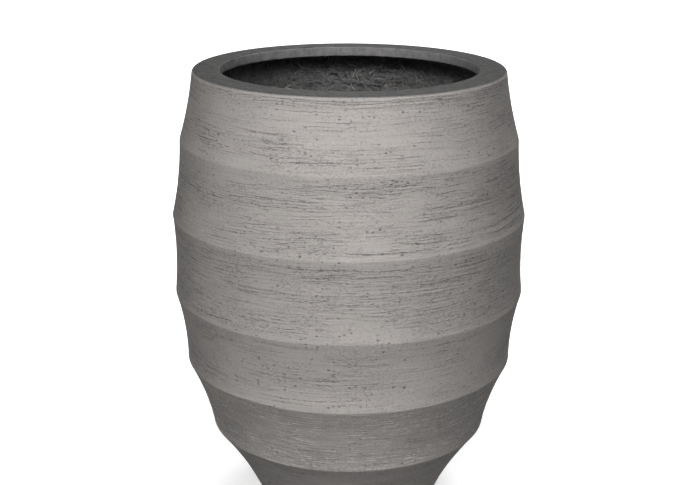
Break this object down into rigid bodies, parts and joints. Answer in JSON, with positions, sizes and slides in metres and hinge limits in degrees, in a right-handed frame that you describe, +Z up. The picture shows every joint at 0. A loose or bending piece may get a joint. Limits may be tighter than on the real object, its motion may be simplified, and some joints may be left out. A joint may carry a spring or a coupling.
{
  "type": "plant pot",
  "caption": "Barrel-shaped planter of stacked hollow bands with an inturned rim, a fibre lining, a drain that a pull-out plug closes, and foot pads.",
  "frame": {"origin": "on the floor, under the middle of the pot", "axes": "+Z up along the pot's own axis; the pictured front faces -Y"},
  "size_m": [0.5398, 0.5398, 0.6819],
  "materials": {
    "fibre_clay": "matt grey fibre clay, brushed round in fine level streaks",
    "glass_fibre": "rough resin-bound glass fibre",
    "bush_plastic": "moulded, satin",
    "plug_rubber": "moulded, matt",
    "pad_rubber": "matt"
  },
  "bodies": {
    "pot": {"clay_shell": "fibre_clay", "fibre_lining": "glass_fibre", "drain_bush": "bush_plastic", "foot_pad_1": "pad_rubber", "foot_pad_2": "pad_rubber", "foot_pad_3": "pad_rubber", "foot_pad_4": "pad_rubber"},
    "plug": {"drain_plug": "plug_rubber"}
  },
  "joints": [
    {"name": "plug_pull", "type": "slide", "parent": "pot", "child": "plug", "axis": [0, 0, 1], "range_m": [0, 0.06]}
  ]
}
